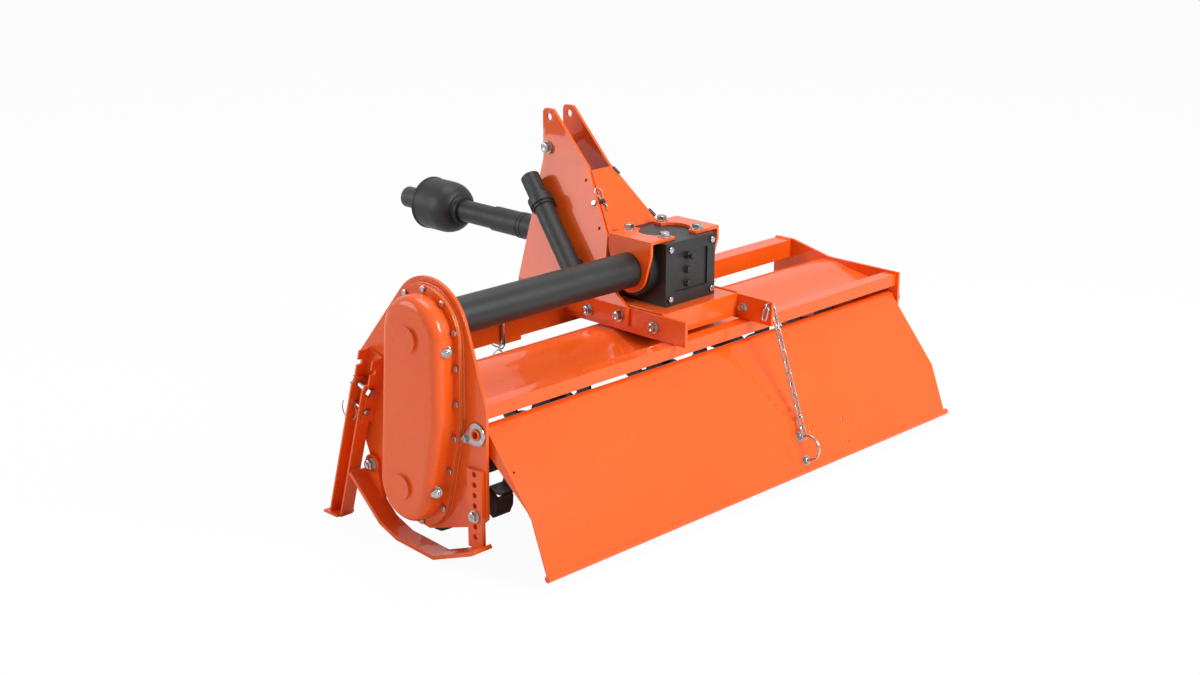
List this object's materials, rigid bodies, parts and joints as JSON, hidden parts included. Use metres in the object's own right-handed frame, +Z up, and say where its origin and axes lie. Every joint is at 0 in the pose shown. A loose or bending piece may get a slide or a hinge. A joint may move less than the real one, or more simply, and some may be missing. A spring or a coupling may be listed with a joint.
{
  "type": "three-point hitch rotavator",
  "caption": "Orange tractor-mounted rotavator with side chain drive, hinged rear deflector, skids, a fold-up parking stand and a shielded telescopic driveline",
  "frame": {"origin": "middle of the whole machine's box, on the ground under it", "axes": "X across the machine to its right, Y forward to the tractor, Z up"},
  "size_m": [1.651, 1.3946, 0.88],
  "materials": {
    "orange_paint": "gloss powder coat",
    "black_paint": "satin black paint",
    "zinc_plate": "zinc plated",
    "rotor_steel": "dark forged steel under thin black paint",
    "gasket_card": "fibre gasket sheet",
    "black_plastic": "moulded black plastic"
  },
  "bodies": {
    "frame": {"left_side_plate": "orange_paint", "right_side_plate": "orange_paint", "front_tube": "orange_paint", "hood": "orange_paint", "chain_case_rim": "orange_paint", "chain_case_gasket": "gasket_card", "chain_case_cover": "orange_paint", "axle_tube": "black_paint", "gearbox_housing": "black_paint", "gearbox_cover": "black_paint", "gearbox_yoke": "rotor_steel", "gearbox_mount_left": "orange_paint", "gearbox_mount_right": "orange_paint", "gearbox_base": "orange_paint", "support_bracket_left": "orange_paint", "support_bracket_right": "orange_paint", "mast_plate_left": "orange_paint", "mast_plate_right": "orange_paint", "mast_spacer": "zinc_plate", "mast_guard": "orange_paint", "manual_canister": "black_plastic", "canister_cap": "black_plastic", "lower_hitch_left": "orange_paint", "lower_hitch_right": "orange_paint", "hitch_lock_pins": "zinc_plate", "rotor_bearing": "black_paint", "skid_left": "orange_paint", "skid_right": "orange_paint", "hinge_retainers": "zinc_plate", "stand_bracket": "orange_paint", "stand_pivot": "zinc_plate", "deflector_chain": "zinc_plate"},
    "rotor": {"rotor": "rotor_steel"},
    "deflector": {"deflector_panel": "orange_paint", "deflector_pipe": "orange_paint", "deflector_hoop": "zinc_plate"},
    "stand": {"parking_stand": "orange_paint", "stand_lock_pin": "zinc_plate"},
    "universal_joint": {"joint_cross": "rotor_steel"},
    "driveline_rear": {"driveline_rear_yoke": "rotor_steel", "driveline_rear_shield": "black_plastic"},
    "driveline_front": {"driveline_front_shield": "black_plastic"},
    "tractor_yoke": {"pto_shaft": "rotor_steel", "pto_cross": "rotor_steel", "pto_yoke": "rotor_steel"}
  },
  "joints": [
    {"name": "rotor_spin", "type": "hinge", "parent": "frame", "child": "rotor", "pos_m": [0.0105, -0.26574, 0.16], "axis": [1, 0, 0], "continuous": true},
    {"name": "deflector_hinge", "type": "hinge", "parent": "frame", "child": "deflector", "pos_m": [0.0105, -0.45674, 0.319], "axis": [-1, 0, 0], "range_deg": [0, 60], "deforming": ["deflector_chain"]},
    {"name": "stand_swing", "type": "hinge", "parent": "frame", "child": "stand", "pos_m": [-0.7835, -0.08974, 0.348], "axis": [0, 0.9563, 0.2924], "range_deg": [0, 180]},
    {"name": "driveline_pitch", "type": "hinge", "parent": "frame", "child": "universal_joint", "pos_m": [0.0105, -0.14074, 0.538], "axis": [1, 0, 0], "range_deg": [-20, 20]},
    {"name": "driveline_yaw", "type": "hinge", "parent": "universal_joint", "child": "driveline_rear", "pos_m": [0.0105, -0.14074, 0.538], "axis": [0, 0, 1], "range_deg": [-8, 8]},
    {"name": "driveline_slide", "type": "slide", "parent": "driveline_rear", "child": "driveline_front", "axis": [0, 1, 0], "range_m": [-0.09, 0.12]},
    {"name": "tractor_yoke_spin", "type": "hinge", "parent": "driveline_front", "child": "tractor_yoke", "pos_m": [0.0105, 0.60726, 0.538], "axis": [0, 1, 0], "continuous": true}
  ],
  "couplings": [
    {"joint": "tractor_yoke_spin", "follows": "rotor_spin", "ratio": 2.6}
  ]
}
